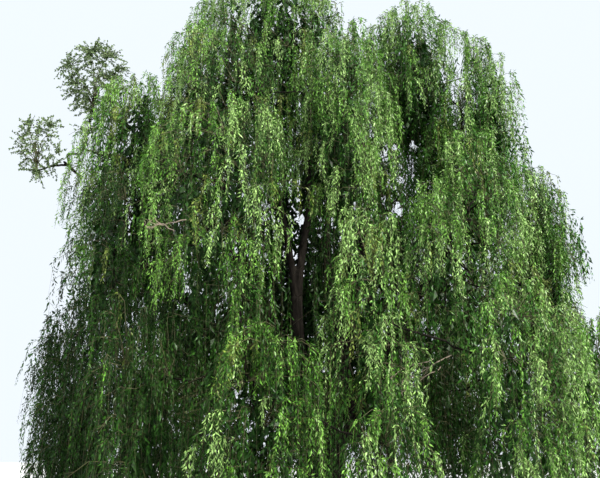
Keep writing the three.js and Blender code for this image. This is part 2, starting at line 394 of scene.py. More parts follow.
def box_of(node):
    """A node's lowest and highest corners."""
    return [np.array(corner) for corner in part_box(node)]


def facets_of(node):
    """The corners, normals and areas of a CAD node's triangles."""
    corners = points_of(node)[triangles_of(node)]
    across = np.cross(corners[:, 1] - corners[:, 0], corners[:, 2] - corners[:, 0])
    return corners, unit(across), np.linalg.norm(across, axis=1) / 2


def tree_of(nodes):
    """One search tree over the surfaces of several CAD nodes."""
    corners, faces = [], []
    count = 0
    for node in nodes:
        own = points_of(node)
        corners.append(own)
        faces.append(triangles_of(node) + count)
        count += len(own)
    return BVHTree.FromPolygons(np.vstack(corners).tolist(), np.vstack(faces).tolist())


def unit(vectors):
    """Vectors scaled to length one."""
    lengths = np.linalg.norm(vectors, axis=-1, keepdims=True)
    return vectors / np.maximum(lengths, 1e-9)


def nearest(points, place):
    """The one of the points that is nearest to a place."""
    return points[np.linalg.norm(points - place, axis=1).argmin()]


def square_to(axis, vectors):
    """The part of each vector that is square to its axis, at length one."""
    return unit(vectors - np.sum(vectors * axis, axis=-1, keepdims=True) * axis)


def spots_on(path, spots):
    """The points at fractional numbers along a path, and the number of the path's point before each."""
    before = np.minimum(spots.astype(int), len(path) - 2)
    share = (spots - before)[:, None]
    return path[before] * (1 - share) + path[before + 1] * share, before


def scatter_on(node, per_m2, rng):
    """Points spread evenly over a node's surface, and the surface's normals there."""
    corners, normals, area = facets_of(node)
    count = int(area.sum() * per_m2)
    chosen = rng.choice(len(area), count, p=area / area.sum())
    share = rng.random((count, 2))
    past = share.sum(axis=1) > 1
    share[past] = 1 - share[past]
    a, b, c = corners[chosen].transpose(1, 0, 2)
    points = a + share[:, :1] * (b - a) + share[:, 1:] * (c - a)
    return points, normals[chosen]


def scatter_in(node, count, depth, rng):
    """Up to count points spread evenly inside a node, deeper than depth, and how deep each is."""
    skin = tree_of([node])
    low, high = box_of(node)
    found = []
    for point in rng.uniform(low, high, (8 * count, 3)):
        place, normal, _, distance = skin.find_nearest(Vector(point))
        # A point inside lies straight behind its nearest face; one just past an edge lies a little behind
        inside = (Vector(point) - place).dot(normal) < -0.6 * distance
        if inside and distance > depth:
            found.append((*point, distance))
    found = np.array(found[:count]).reshape(-1, 4)
    return found[:, :3], found[:, 3]


def thin_out(points, spacing):
    """The numbers of the points kept so that no two are nearer than the spacing."""
    kept, cells = [], {}
    for number, point in enumerate(points):
        cell = tuple(np.floor(point / spacing).astype(int))
        around = [
            other
            for x in (-1, 0, 1)
            for y in (-1, 0, 1)
            for z in (-1, 0, 1)
            for other in cells.get((cell[0] + x, cell[1] + y, cell[2] + z), ())
        ]
        if all(np.sum((points[other] - point) ** 2) >= spacing**2 for other in around):
            kept.append(number)
            cells.setdefault(cell, []).append(number)
    return np.array(kept, int)


def camera_pitch():
    """How far the camera looks up."""
    return math.atan((HORIZON_ROW - PHOTO_SIZE[1] / 2) / FOCAL_PIXELS)


def photo_place(points):
    """Where points of the tree show in the photograph, as columns and rows."""
    pitch = camera_pitch()
    away = points - np.array(EYE)
    ahead = away[..., 1] * math.cos(pitch) + away[..., 2] * math.sin(pitch)
    above = away[..., 2] * math.cos(pitch) - away[..., 1] * math.sin(pitch)
    column = PHOTO_SIZE[0] / 2 + FOCAL_PIXELS * away[..., 0] / ahead
    row = PHOTO_SIZE[1] / 2 - FOCAL_PIXELS * above / ahead
    return column, row


def covers_sky(places, rng):
    """Which places to clear, so that the openings where the photograph shows sky stay open."""
    column, row = photo_place(places)
    blocked = np.zeros(len(places), bool)
    for left, top, right, bottom in SKY_GAPS:
        across = (column - (left + right) / 2) / ((right - left) / 2)
        down = (row - (top + bottom) / 2) / ((bottom - top) / 2)
        blocked |= across**2 + down**2 < rng.uniform(*GAP_EDGE, len(places))
    return blocked & (rng.random(len(places)) < LEAVES_CLEARED)


# The branching rule


def bend(start, leave, end, arrive, steps):
    """A smooth curve from start to end that leaves along one vector and arrives along another."""
    t = np.linspace(0, 1, steps)[:, None]
    first = start + leave
    second = end - arrive
    return (1 - t) ** 3 * start + 3 * (1 - t) ** 2 * t * first + 3 * (1 - t) * t**2 * second + t**3 * end


def limb_end(node):
    """Where a limb ends, which way it points there, and its radius."""
    corners = points_of(node)
    foot = corners[corners[:, 2].argmin()]
    reach = np.linalg.norm(corners - foot, axis=1)
    # The end's rim, and the two metres before it
    last = corners[reach > reach.max() - 0.3]
    before = corners[(reach < reach.max() - 0.5) & (reach > reach.max() - 2.0)]
    end = last.mean(axis=0)
    way = unit(end - (before if len(before) else corners).mean(axis=0))
    return end, way, min(0.1, np.linalg.norm(last - end, axis=1).mean())


def hub_of(node):
    """The place inside a mass that its boughs spread from; in an upright spray, its foot."""
    low, high = box_of(node)
    middle = points_of(node).mean(axis=0)
    share = 0.05 if node in SPRAYS else 0.55
    return np.array([middle[0], middle[1], low[2] + share * (high[2] - low[2])])


def grow_leaders(rng):
    """One leader into every mass, each from the nearest limb end or leader that already stands."""
    limbs = [node for node in LIMBS if node != "trunk"]
    places, ways, girths = map(list, zip(*(limb_end(node) for node in limbs)))
    owners = list(limbs)
    waiting = {node: hub_of(node) for node in CURTAINS + SPRAYS}
    leaders = {}
    while waiting:
        gaps = {}
        for node, hub in waiting.items():
            gap = np.linalg.norm(np.array(places) - hub, axis=1)
            if node in PARENTS:
                gap[[owner != PARENTS[node] for owner in owners]] = np.inf
            gaps[node] = gap
        node = min(gaps, key=lambda name: gaps[name].min())
        hub = waiting.pop(node)
        nearest_one = gaps[node].argmin()
        span = gaps[node].min()
        start, way = places[nearest_one], np.array(ways[nearest_one])
        arrive = unit(hub - start) + np.array([0, 0, 0.2 if node in SPRAYS else -0.5])
        path = bend(start - 0.25 * way, 0.4 * span * way, hub, 0.35 * span * arrive, LEADER_POINTS)
        path[1:-1] += rng.normal(0, WANDER * span, path[1:-1].shape)
        thick = LEADER_SHARE * girths[nearest_one]
        radii = np.linspace(thick, max(0.45 * thick, LEADER_TIP), len(path))
        leaders[node] = (path, radii)
        for number in range(FIRST_FORK, len(path)):
            places.append(path[number])
            ways.append(unit(path[number] - path[number - 1]))
            girths.append(radii[number])
            owners.append(node)
    return leaders


def open_to_air(skin, points, normals, reach):
    """Whether each surface point looks out into the open, and not into the next mass."""
    return np.array(
        [
            skin.ray_cast(Vector(point + 0.0004 * normal), Vector(normal), reach)[0] is None
            for point, normal in zip(points, normals)
        ]
    )


def clumping(point):
    """How full the foliage is at a place, about -0.5 to 0.5, in upright folds and tufts."""
    return noise.noise(Vector((1.05 * point[0], 1.05 * point[1], 0.4 * point[2] + 3.7)))


def openness(skin, point, normal):
    """The share of the sky and the surroundings that a surface point looks out on, from 0 to 1."""
    level = Vector((normal[0], normal[1], 0)).normalized()
    start = Vector(point + 0.05 * normal)
    clear = 0
    for turn in LOOK_TURNS:
        ahead = level.copy()
        ahead.rotate(Euler((0, 0, math.radians(turn))))
        for rise in LOOK_RISES:
            way = (ahead + rise * Vector(UP)).normalized()
            clear += skin.ray_cast(start, way, LOOK_REACH)[0] is None
    return clear / (len(LOOK_TURNS) * len(LOOK_RISES))


def find_heads(shoots, rng):
    """Where the tresses spring, over each mass's open surface: place, normal, fullness and light."""
    skin = tree_of(CURTAINS)
    heads = {}
    for node in CURTAINS:
        points, normals = scatter_on(node, HEADS_PER_M2, rng)
        clear = open_to_air(skin, points, normals, HEAD_CLEARANCE) & (normals[:, 2] > HEAD_FACING)
        low, high = box_of(node)
        clear &= points[:, 2] > low[2] + HEM_SHARE * min(HEM_HEIGHT, high[2] - low[2])
        points, normals = points[clear], normals[clear]
        outward = np.einsum("ij,ij->i", normals[:, :2], unit(points[:, :2]))
        _, fullness = MASS_SHADE_AND_FULLNESS.get(node, USUAL_SHADE_AND_FULLNESS)
        kept = thin_out(points, shoots.spacing * min(1.0, fullness**-0.25))
        full = np.array([clumping(point) for point in points[kept]])
        faces_air = (outward[kept] > INWARD) | (points[kept, 2] > DOME_LEVEL)
        odds = np.where(faces_air, 1.0, INWARD_SHARE) * np.where(full > IN_A_FOLD, 1.0, FOLD_SHARE)
        some = rng.random(len(kept)) < odds
        kept, full = kept[some], full[some]
        light = np.array([openness(skin, *place) for place in zip(points[kept], normals[kept])])
        heads[node] = (points[kept], normals[kept], full, light)
    return heads


def fill_points(centre, reach, count, rng):
    """Points spread evenly through a rounded box between the masses."""
    points = rng.uniform(-1, 1, (2 * count, 3))
    points = points[(points**4).sum(axis=1) < 1][:count]
    return points * np.array(reach) + np.array(centre)


def ring_points(count, rng):
    """Points in a ring through the lowest curtains, so that no gap opens between two of them."""
    turn = rng.uniform(0, 2 * math.pi, count)
    share = rng.uniform(*SKIRT_RIM, count)
    x = SKIRT_MIDDLE[0] + SKIRT_REACH[0] * share * np.cos(turn)
    y = SKIRT_MIDDLE[1] + SKIRT_REACH[1] * share * np.sin(turn)
    return np.stack([x, y, rng.uniform(*SKIRT_LEVELS, count)], axis=1)


def inner_targets(shoots, rng):
    """Where the shaded shoots pass: each place, its depth, the room below it, and whether it is pale."""
    targets, depths, rooms, pales = [], [], [], []

    def add(points, depth, room, pale):
        targets.append(points)
        depths.append(np.broadcast_to(depth, len(points)))
        rooms.append(room)
        pales.append(np.full(len(points), pale))

    skin = tree_of(CURTAINS)
    for node in CURTAINS:
        low, high = box_of(node)
        deeper, fullness = MASS_SHADE_AND_FULLNESS.get(node, USUAL_SHADE_AND_FULLNESS)
        # The veil of a mass lightened with painted light is pale, lightened with painted light too
        pale = deeper < 0
        *_, area = facets_of(node)
        count = int(area.sum() * shoots.inner_per_m2 * fullness)
        points, depth = scatter_in(node, count, min(0.22, 0.12 * min(high - low)), rng)
        end = low[2] - (0.5 if low[2] > HIGH_HEM else -0.1)
        add(points, depth, points[:, 2] - max(end, LOWEST), pale)
        # Just under the tops, where nothing hangs past from above, there are more
        points, normals = scatter_on(node, shoots.cap_per_m2, rng)
        clear = (normals[:, 2] > CAP_FACING) & open_to_air(skin, points, normals, CAP_CLEARANCE)
        points = points[clear] - rng.uniform(*CAP_DEPTHS, (clear.sum(), 1)) * normals[clear]
        add(points, 0.0, np.minimum(CAP_LONGEST, points[:, 2] - max(low[2], LOWEST)), pale)
    for centre, reach, count, depth in FILLS:
        points = fill_points(centre, reach, count, rng)
        # Fills to the right are pale, lightened with painted light where the crown is lighter
        add(points, depth, points[:, 2] - max(centre[2] - reach[2] - 0.5, 0.5), centre[0] > 1)
    points = ring_points(shoots.ring_count, rng)
    add(points, 0.0, points[:, 2] - 0.6, False)
    return [np.concatenate(parts) for parts in (targets, depths, rooms, pales)]


def grow_arms(node, leader, heads, rng):
    """The mass's own boughs, from its leader to a little way inside its surface."""
    points, normals, _, _ = heads
    path, radii = leader
    if not len(points):
        return []
    targets = points - ARM_DEPTH * normals - 0.2 * UP
    arms = []
    for number in thin_out(targets, ARM_SPACING):
        target = targets[number]
        cost = np.linalg.norm(path - target, axis=1) + 0.8 * np.maximum(path[:, 2] - target[2], 0)
        spot = cost[FIRST_FORK:].argmin() + FIRST_FORK
        start = path[spot]
        span = np.linalg.norm(target - start)
        leave = 0.35 * span * unit(unit(target - start) + 0.6 * UP)
        arrive = 0.3 * span * unit(normals[number] + 0.1 * UP)
        arm = bend(start, leave, target, arrive, ARM_POINTS)
        arm[1:-1] += rng.normal(0, WANDER * span, arm[1:-1].shape)
        thick, thin = ARM_RADII
        arms.append((arm, np.linspace(min(0.7 * radii[spot], thick), thin, len(arm))))
    return arms


def all_boughs(leaders, arms):
    """Points along every bough inside the crown, and on the limbs."""
    paths = [path for path, _ in leaders.values()] + [arm for group in arms.values() for arm, _ in group]
    return np.vstack(paths + [points_of(node)[::3] for node in LIMBS if node != "trunk"])


def grow_twig(head, normal, full, middle, inner, rng):
    """An arching twig from the nearest bough inside to a head, over it, outwards and down."""
    level = np.array([1, 1, 0.1])
    away = unit(level * (normal + 0.35 * unit(head - middle) + rng.normal(0, 0.3, 3)))
    # Over a mass's top the twig is short, so that the outline stays close
    reach = rng.uniform(*TWIG_REACH) * (1 - 0.45 * max(0.0, normal[2]))
    # On a mass's side the twig stands back, so that its shoots hang where the surface is
    head = head - 0.75 * reach * normal * np.array([1, 1, 0]) - 0.8 * max(0.05, 0.15 - full) * normal
    start = nearest(inner, head)
    span = np.linalg.norm(head - start)
    leave = 0.4 * span * unit(away + 0.9 * UP)
    rise = bend(start, leave, head, 0.3 * span * unit(away + 0.3 * UP), 3)
    arc = head + np.outer([0.5, 1.0], reach * away) + np.outer([0.04, -0.32], reach * UP)
    return np.vstack([rise, arc]), away


def hem_of(node):
    """The level that a mass's shoots end at, and how far the longest may drop below it."""
    hem = box_of(node)[0][2]
    return hem, next(drop for level, drop in HEM_DROPS if hem > level)


def hang_shoots(hem, drop, twig, away, full, top, shoots, rng):
    """The shoots that hang from one arching twig: where each starts, how it leaves, and its length."""
    count = rng.integers(shoots.per_tress - 1, shoots.per_tress + 2) + MORE_ON_TOP * top
    place = rng.uniform(1.6, len(twig) - 1, count)
    starts, _ = spots_on(twig, place)
    side = np.cross(away, UP)
    fan = rng.normal(0, 0.6, (count, 1))
    out = unit(away + fan * side) * rng.uniform(*SPRING_REACH, (count, 1)) * (0.7 if top else 1.0)
    lift = rng.uniform(0.0, 0.1, count)
    end = hem + rng.uniform(-0.2, 0.35, count) - drop * rng.random()
    room = starts[:, 2] - np.maximum(end, LOWEST)
    longest = shoots.longest * np.clip(0.72 + 0.8 * full, 0.4, 1.0) * rng.uniform(0.45, 1.0, count)
    length = np.minimum(longest, room)
    keep = length > shoots.shortest
    return starts[keep], out[keep], lift[keep], length[keep]


def grow_tresses(heads, arms, leaders, shoots, rng):
    """Every arching twig, every shoot that hangs from one, and how much light each twig has."""
    twigs, batches, owners, tress_ids, lights = [], [], [], [], []
    for index, node in enumerate(CURTAINS):
        boughs = np.vstack([leaders[node][0][FIRST_FORK:]] + [arm for arm, _ in arms[node]])
        middle = points_of(node).mean(axis=0)
        hem, drop = hem_of(node)
        for head, normal, full, light in zip(*heads[node]):
            twig, away = grow_twig(head, normal, full, middle, boughs, rng)
            batch = hang_shoots(hem, drop, twig, away, full, normal[2] > TOP_FACING, shoots, rng)
            if not len(batch[0]):
                continue
            tress_ids += [len(twigs)] * len(batch[0])
            owners += [index] * len(batch[0])
            lights.append(light)
            twigs.append((twig, np.linspace(*TWIG_RADII, len(twig))))
            batches.append(batch)
    start, out, lift, length = (np.concatenate(parts) for parts in zip(*batches))
    hanging = Shoots(start, out, lift, length, np.array(owners), np.array(tress_ids), rng)
    across = covers_sky(hanging.at(0.6), rng) & (rng.random(len(hanging)) < SHOOTS_CLEARED)
    return twigs, hanging.only(~across), np.array(lights)


def grow_inner(boughs, shoots, rng):
    """The shaded shoots, each from the nearest bough, in three groups: veil, pale veil and core."""
    target, depth, room, pale = inner_targets(shoots, rng)
    tree = KDTree(len(boughs))
    for number, place in enumerate(boughs):
        tree.insert(place, number)
    tree.balance()
    start = np.array([tree.find(place)[0] for place in target])
    out = (target - start) * np.array([1, 1, 0])
    # What the shoot falls while it turns over is given back, so that it passes through its target
    lift = target[:, 2] - start[:, 2] + 2 * Shoots.TURN
    length = np.minimum(rng.uniform(*INNER_LENGTHS, len(start)), np.maximum(room, LOWEST))
    length += 3 * Shoots.TURN
    near = depth < VEIL_DEPTH
    numbers = np.arange(len(start))
    return [
        Shoots(start[some], out[some], lift[some], length[some], numbers[some], numbers[some], rng)
        for some in (near & ~pale, near & pale, ~near)
    ]


def seen_place(skin, column, row):
    """The place on the masses' surface that shows at a column and row of the photograph."""
    pitch = camera_pitch()
    right = (column - PHOTO_SIZE[0] / 2) / FOCAL_PIXELS
    above = (PHOTO_SIZE[1] / 2 - row) / FOCAL_PIXELS
    ahead = np.array([0, math.cos(pitch), math.sin(pitch)])
    over = np.array([0, -math.sin(pitch), math.cos(pitch)])
    ray = unit(ahead + np.array([right, 0, 0]) + above * over)
    place, *_ = skin.ray_cast(Vector(EYE), Vector(ray))
    if place is None:
        raise RuntimeError(f"Nothing shows at column {column}, row {row}")
    return np.array(place) - 0.15 * ray


def grow_bare(rng):
    """The bare, dead branches that show between the tresses, each with a few crooked side twigs."""
    skin = tree_of(CURTAINS)
    lines = []
    for foot_column, foot_row, tip_column, tip_row, sides in BARE_BRANCHES:
        foot = seen_place(skin, foot_column, foot_row)
        tip = seen_place(skin, tip_column, tip_row)
        tip[1] = foot[1] + 0.2 * (tip[1] - foot[1])
        span = np.linalg.norm(tip - foot)
        way = unit(tip - foot)
        stem = bend(foot - 0.5 * span * way, 0.4 * span * way, tip, 0.2 * span * (way - 0.5 * UP), 9)
        stem[1:] += rng.normal(0, 0.02, stem[1:].shape)
        lines.append((stem, np.linspace(*DEAD_RADII, len(stem))))
        for spot in rng.integers(3, 8, sides):
            turn = unit(way + rng.normal(0, 0.6, 3) - 0.5 * UP)
            end = stem[spot] + rng.uniform(0.25, 0.6) * span * turn
            twig = bend(stem[spot], 0.15 * span * way, end, 0.1 * span * turn, 5)
            twig[1:] += rng.normal(0, 0.012, twig[1:].shape)
            lines.append((twig, np.linspace(*DEAD_TWIG_RADII, len(twig))))
    return lines


class Shoots:
    """Many hanging shoots: each leaves outwards and a little up, turns over, and falls with a sway."""

    # The length in which a shoot turns over
    TURN = 0.17

    def __init__(self, start, out, lift, length, owner, tress, rng):
        count = len(start)
        self.start = start
        self.out = out
        self.lift = lift
        self.length = length
        self.owner = owner
        self.tress = tress
        self.phase = rng.uniform(0, 2 * math.pi, (count, 2))
        self.sway = rng.uniform(*SWAYS, (count, 1))
        self.wave = rng.uniform(*WAVES, (count, 1))

    def __len__(self):
        return len(self.start)

    def only(self, chosen):
        """The chosen shoots alone."""
        for name, values in vars(self).items():
            setattr(self, name, values[chosen])
        return self

    def at(self, share):
        """The point of each shoot at one share of its length."""
        return self.along(np.full((len(self), 1), share))[:, 0]

    def along(self, share):
        """The points at given shares of each shoot's length, one row of points for each shoot."""
        distance = share * self.length[:, None]
        turned = 1 - np.exp(-distance / self.TURN)
        fall = distance - self.TURN * turned
        points = self.start[:, None, :] + turned[..., None] * self.out[:, None, :]
        points[..., 2] += turned * self.lift[:, None] - fall
        swing = self.sway * np.minimum(distance, SWAY_PART)
        points[..., 0] += swing * (np.sin(self.wave * distance + self.phase[:, :1]) - 0.2)
        points[..., 1] += swing * np.sin(self.wave * distance + self.phase[:, 1:])
        return points


def polylines(shoots, shares, thickness):
    """Hanging shoots as polylines with a radius at each point."""
    rows = shoots.along(np.tile(np.array(shares), (len(shoots), 1)))
    radii = thickness * np.linspace(1, SHOOT_TAPER, len(shares))
    return [(row, radii) for row in rows]


# Leaves


def set_leaves(shoots, gap, first, size, rng):
    """A place, a turn and a size for every leaf along the shoots, alternately to either side."""
    most = int(shoots.length.max() / gap) + 1
    number = np.arange(most)[None, :]
    distance = first + gap * number + rng.uniform(-0.3, 0.3, (len(shoots), most)) * gap
    here = distance < shoots.length[:, None] * 0.995
    share = np.clip(distance / shoots.length[:, None], 0, 1)
    place = shoots.along(share)
    here[here] = ~covers_sky(place[here], rng)
    ahead = shoots.along(np.clip(share + 0.02, 0, 1.02))
    stem = unit(ahead - place)
    turn = shoots.phase[:, :1] + math.pi * number + rng.normal(0, 0.8, share.shape)
    side = unit(np.cross(stem, np.array([1.0, 0.37, 0.11])))
    front = np.cross(stem, side)
    radial = np.cos(turn)[..., None] * side + np.sin(turn)[..., None] * front
    spread = np.radians(rng.triangular(*LEAF_SPREAD, share.shape))[..., None]
    axis = unit(np.cos(spread) * stem + np.sin(spread) * radial - LEAF_DROOP * UP)
    roll = rng.normal(0, 0.9, share.shape)[..., None]
    face = square_to(axis, radial)
    face = np.cos(roll) * face + np.sin(roll) * np.cross(axis, face)
    tip = np.clip((1 - share) * 6, 0.55, 1)
    scale = size * rng.uniform(*LEAF_SIZES, share.shape) * tip
    # Most leaves sit close to their shoot, and a few stand well off it
    place = place + (LEAF_STAND * rng.random(share.shape) ** 2)[..., None] * radial
    owner = np.broadcast_to(np.arange(len(shoots))[:, None], share.shape)
    return place[here], euler_of(axis[here], face[here]), scale[here], owner[here]


def euler_of(axis, face):
    """Euler angles that turn +Y along each axis and +Z along each face."""
    across = np.cross(axis, face)
    y = np.arcsin(np.clip(-across[:, 2], -1, 1))
    x = np.arctan2(axis[:, 2], face[:, 2])
    z = np.arctan2(across[:, 1], across[:, 0])
    return np.stack([x, y, z], axis=1)


def deal_tones(shoots, lights, rng):
    """The number of each hanging shoot's leaf tone, dealt out by tress: painted lighter in the open."""
    dark, shady, in_the_open = np.array(list(TONES.values())).T
    kinds, first, tress = np.unique(shoots.tress, return_index=True, return_inverse=True)
    patch = np.array([noise.noise(Vector(place * 0.4)) for place in shoots.start[first]])
    shade = np.array([MASS_SHADE_AND_FULLNESS.get(CURTAINS[owner], USUAL_SHADE_AND_FULLNESS)[0] for owner in shoots.owner[first]])
    # Painted light and shade: tones are lighter where a tress looks out on more sky and in masses with
    # painted light, darker in recesses and masses with painted shade, beyond the darker green of shade
    # leaves
    level = np.clip(lights[kinds] * 1.3 - 0.1 + 0.5 * patch - shade, -0.5, 1)[:, None]
    # Below zero the level runs on from shaded towards hardly lit at all
    dim, open_part = np.clip(-2 * level, 0, 1), np.clip(level, 0, 1)
    odds = dim * dark + (1 - dim) * ((1 - open_part) * shady + open_part * in_the_open)
    odds = np.cumsum(odds, axis=1)[tress]
    drawn = rng.random(len(first))[tress]
    strays = rng.random(len(shoots)) < STRAY_SHARE
    drawn[strays] = rng.random(strays.sum())
    return np.minimum((drawn[:, None] > odds).sum(axis=1), len(TONES) - 1)


# Upright sprays


def grow_spray(node, leader, rng):
    """An airy spray: thin stems that rise and fan out, with short leafy side twigs."""
    low, high = box_of(node)
    size = high - low
    foot = leader[0][-1]
    stems, twigs = [], []
    for target in scatter_in(node, int(SPRAY_STEMS + STEMS_PER_METRE * size[2]), 0.1, rng)[0]:
        target[2] = max(target[2], low[2] + 0.4 * size[2])
        rise = 0.5 * (target[2] - foot[2]) + 0.15
        stem = bend(foot, np.array([0, 0, rise]), target, 0.25 * unit(target - foot), STEM_POINTS)
        stem[1:-1] += rng.normal(0, 0.025, stem[1:-1].shape)
        stems.append((stem, np.linspace(*STEM_RADII, len(stem))))
    spine = np.vstack([stem[2:] for stem, _ in stems] + [leader[0][4:]])
    beside = leader[0][rng.integers(4, LEADER_POINTS, FOOT_TWIGS)] + rng.normal(0, 0.22, (FOOT_TWIGS, 3))
    count = int(SPRAY_TWIGS_PER_M2 * size[0] * size[2])
    for target in np.vstack([scatter_in(node, count, 0.0, rng)[0], beside]):
        start = nearest(spine, target)
        span = np.linalg.norm(target - start)
        way = unit(target - start)
        twig = bend(start, 0.35 * span * unit(way + 0.5 * UP), target, 0.3 * span * way, 4)
        twigs.append((twig, np.linspace(*SPRAY_TWIG_RADII, len(twig))))
    return stems, twigs


def leaf_twigs(twigs, gap, rng):
    """Leaves set at all angles along the outer part of each side twig."""
    places, axes, faces = [], [], []
    for path, _ in twigs:
        length = np.linalg.norm(np.diff(path, axis=0), axis=1).sum()
        count = max(5, int(min(length, 0.6) / gap))
        share = 1 - rng.random(count) * min(0.6, length) / length
        place, before = spots_on(path, share * (len(path) - 1))
        places.append(place)
        way = unit(path[before + 1] - path[before])
        axis = unit(way + 1.1 * unit(rng.normal(0, 1, (count, 3))))
        axes.append(axis)
        faces.append(square_to(axis, unit(rng.normal(0, 1, (count, 3)))))
    place = np.vstack(places)
    size = rng.uniform(*SPRAY_LEAF_SIZES, len(place))
    return place, euler_of(np.vstack(axes), np.vstack(faces)), size


# Geometry Nodes


def new_tree(name, inputs):
    """An empty Geometry Nodes tree with a geometry going in and out and the named inputs."""
    tree = bpy.data.node_groups.new(name, "GeometryNodeTree")
    tree.interface.new_socket("Geometry", in_out="INPUT", socket_type="NodeSocketGeometry")
    for label, kind in inputs.items():
        tree.interface.new_socket(label, in_out="INPUT", socket_type=kind)
    tree.interface.new_socket("Geometry", in_out="OUTPUT", socket_type="NodeSocketGeometry")
    return tree, tree.nodes.new("NodeGroupInput"), tree.nodes.new("NodeGroupOutput")


def named(tree, name, kind):
    """The output that reads a named attribute."""
    node = tree.nodes.new("GeometryNodeInputNamedAttribute")
    node.data_type = kind
    node.inputs["Name"].default_value = name
    return node.outputs["Attribute"]


def finish_tree(tree, geometry, source, sink):
    """Ends a tree in Realize Instances and Set Material."""
    realize = tree.nodes.new("GeometryNodeRealizeInstances")
    paint = tree.nodes.new("GeometryNodeSetMaterial")
    tree.links.new(geometry, realize.inputs["Geometry"])
    tree.links.new(realize.outputs["Geometry"], paint.inputs["Geometry"])
    tree.links.new(source.outputs["Material"], paint.inputs["Material"])
    tree.links.new(paint.outputs["Geometry"], sink.inputs["Geometry"])


def sweep_tree():
    """Edges with a thickness become round shoots, with closed ends where caps are wanted."""
    kinds = {"Sides": "NodeSocketInt", "Caps": "NodeSocketBool", "Material": "NodeSocketMaterial"}
    tree, source, sink = new_tree("Round shoots", kinds)
    nodes, link = tree.nodes, tree.links.new
    curve = nodes.new("GeometryNodeMeshToCurve")
    ring = nodes.new("GeometryNodeCurvePrimitiveCircle")
    ring.inputs["Radius"].default_value = 1.0
    sweep = nodes.new("GeometryNodeCurveToMesh")
    smooth = nodes.new("GeometryNodeSetShadeSmooth")
    link(source.outputs["Geometry"], curve.inputs["Mesh"])
    link(source.outputs["Sides"], ring.inputs["Resolution"])
    link(curve.outputs["Curve"], sweep.inputs["Curve"])
    link(ring.outputs["Curve"], sweep.inputs["Profile Curve"])
    link(named(tree, "thickness", "FLOAT"), sweep.inputs["Scale"])
    link(source.outputs["Caps"], sweep.inputs["Fill Caps"])
    link(sweep.outputs["Mesh"], smooth.inputs["Geometry"])
    finish_tree(tree, smooth.outputs["Geometry"], source, sink)
    return tree


def leaf_tree():
    """A leaf on every point, turned and sized by the point's own values."""
    kinds = {"Leaf": "NodeSocketObject", "Material": "NodeSocketMaterial"}
    tree, source, sink = new_tree("Leaves on points", kinds)
    nodes, link = tree.nodes, tree.links.new
    leaf = nodes.new("GeometryNodeObjectInfo")
    turn = nodes.new("FunctionNodeEulerToRotation")
    place = nodes.new("GeometryNodeInstanceOnPoints")
    link(source.outputs["Geometry"], place.inputs["Points"])
    link(source.outputs["Leaf"], leaf.inputs["Object"])
    link(leaf.outputs["Geometry"], place.inputs["Instance"])
    link(named(tree, "turn", "FLOAT_VECTOR"), turn.inputs["Euler"])
    link(turn.outputs["Rotation"], place.inputs["Rotation"])
    link(named(tree, "size", "FLOAT"), place.inputs["Scale"])
    finish_tree(tree, place.outputs["Instances"], source, sink)
    return tree


def shared_tree(name, make):
    """The Geometry Nodes tree of that name, made the first time that it is asked for."""
    return bpy.data.node_groups.get(name) or make()


def linked(name, mesh):
    """A new object at the origin, in the scene."""
    item = bpy.data.objects.new(name, mesh)
    bpy.context.scene.collection.objects.link(item)
    return item


def forget(item):
    """Deletes a helper object and its mesh."""
    mesh = item.data
    bpy.data.objects.remove(item)
    bpy.data.meshes.remove(mesh)


def plain_result(source, name):
    """The result of an object's modifiers as a plain mesh object, which takes that object's place."""
    graph = bpy.context.evaluated_depsgraph_get()
    mesh = bpy.data.meshes.new_from_object(source.evaluated_get(graph))
    for attribute in ("turn", "size", "thickness"):
        if attribute in mesh.attributes:
            mesh.attributes.remove(mesh.attributes[attribute])
    forget(source)
    mesh.name = name
    return linked(name, mesh)


def run_tree(name, mesh, tree, **values):
    """Runs a Geometry Nodes tree on a mesh, and returns the result as a plain mesh object."""
    source = linked(name + "_source", mesh)
    modifier = source.modifiers.new("Nodes", "NODES")
    modifier.node_group = tree
    for item in tree.interface.items_tree:
        if item.in_out == "INPUT" and item.name in values:
            modifier[item.identifier] = values[item.name]
    return plain_result(source, name)


def keep(piece, slot, *nodes):
    """Fixes a finished piece to the tree's one body, and hides the CAD nodes that it stands for."""
    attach(piece, BODY)
    if nodes:
        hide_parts(*nodes)


def points_mesh(name, points, **values):
    """A mesh of loose points that carry named values, one number or three for each point."""
    mesh = bpy.data.meshes.new(name)
    mesh.vertices.add(len(points))
    mesh.vertices.foreach_set("co", points.ravel())
    for label, numbers in values.items():
        kind, field = ("FLOAT", "value") if numbers.ndim == 1 else ("FLOAT_VECTOR", "vector")
        mesh.attributes.new(label, kind, "POINT").data.foreach_set(field, numbers.ravel())
    return mesh


def sweep(name, lines, sides, material):
    """Round shoots along polylines, as one piece."""
    points = np.vstack([path for path, _ in lines])
    counts = [len(path) for path, _ in lines]
    numbers = np.arange(len(points))
    ends = np.cumsum(counts) - 1
    starts = np.delete(numbers, ends)
    mesh = points_mesh(name + "_lines", points, thickness=np.concatenate([radii for _, radii in lines]))
    mesh.edges.add(len(starts))
    mesh.edges.foreach_set("vertices", np.stack([starts, starts + 1], axis=1).ravel())
    mesh.update()
    tree = shared_tree("Round shoots", sweep_tree)
    return run_tree(name, mesh, tree, Sides=sides, Caps=sides > TWIG_SIDES, Material=material)


def place_leaves(name, places, turns, sizes, leaf, material):
    """Leaves at the given places, as one piece."""
    mesh = points_mesh(name + "_points", places, turn=turns, size=sizes)
    mesh.update()
    tree = shared_tree("Leaves on points", leaf_tree)
    return run_tree(name, mesh, tree, Leaf=leaf, Material=material)


